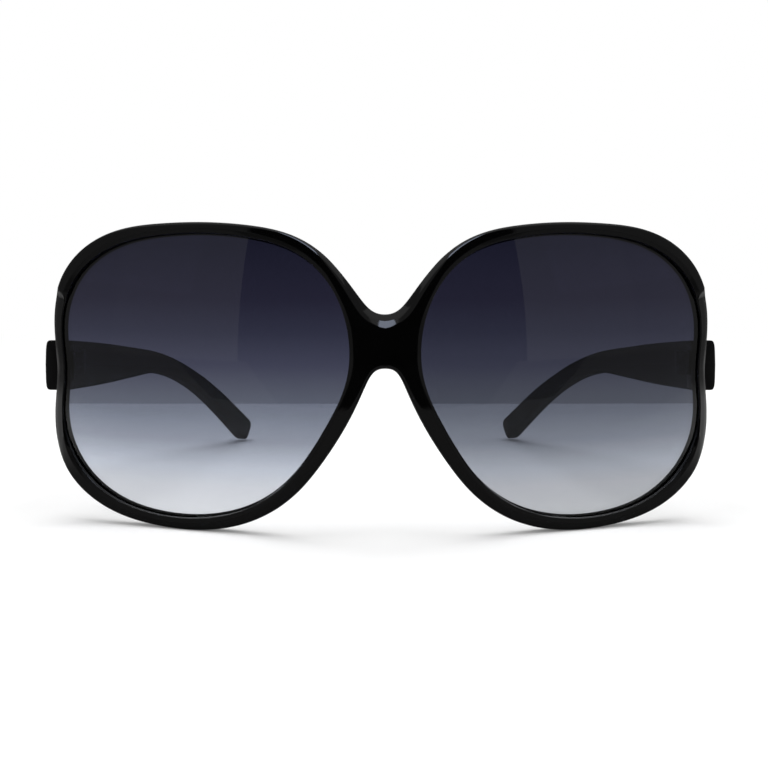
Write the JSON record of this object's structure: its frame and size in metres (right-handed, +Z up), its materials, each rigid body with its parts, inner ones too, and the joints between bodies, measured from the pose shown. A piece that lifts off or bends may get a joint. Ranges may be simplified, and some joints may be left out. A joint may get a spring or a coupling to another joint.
{
  "type": "oversized sunglasses",
  "caption": "Oversized sunglasses: a gloss moulded front with joined rounded-square rims, curved gradient lenses and matte temples that fold on screwed barrel hinges.",
  "frame": {"origin": "middle of the length and width, at the level surface that the rims and the temple tips rest on", "axes": "+Z up, the lenses face -Y, the temples run back towards +Y, the mid-plane is X = 0"},
  "size_m": [0.1544, 0.1454, 0.0667],
  "materials": {
    "gloss_front": "polished",
    "matte_temple": "matte",
    "lens": "polished gradient tint",
    "hinge_metal": "black plated",
    "screw_steel": "plated"
  },
  "bodies": {
    "front": {"front_frame": "gloss_front", "lens_left": "lens", "lens_right": "lens", "hinge_front_left": "hinge_metal", "hinge_front_right": "hinge_metal", "hinge_screw_left": "screw_steel", "hinge_screw_right": "screw_steel"},
    "temple_left": {"temple_left": "matte_temple", "hinge_temple_left": "hinge_metal", "core_wire_left": "screw_steel"},
    "temple_right": {"temple_right": "matte_temple", "hinge_temple_right": "hinge_metal", "core_wire_right": "screw_steel"}
  },
  "joints": [
    {"name": "temple_left_fold", "type": "hinge", "parent": "front", "child": "temple_left", "pos_m": [-0.06885, -0.04469, 0.03482], "axis": [0, 0, -1], "range_deg": [-3.5, 72]},
    {"name": "temple_right_fold", "type": "hinge", "parent": "front", "child": "temple_right", "pos_m": [0.06885, -0.04469, 0.03482], "axis": [0, 0, 1], "range_deg": [0, 82]}
  ]
}
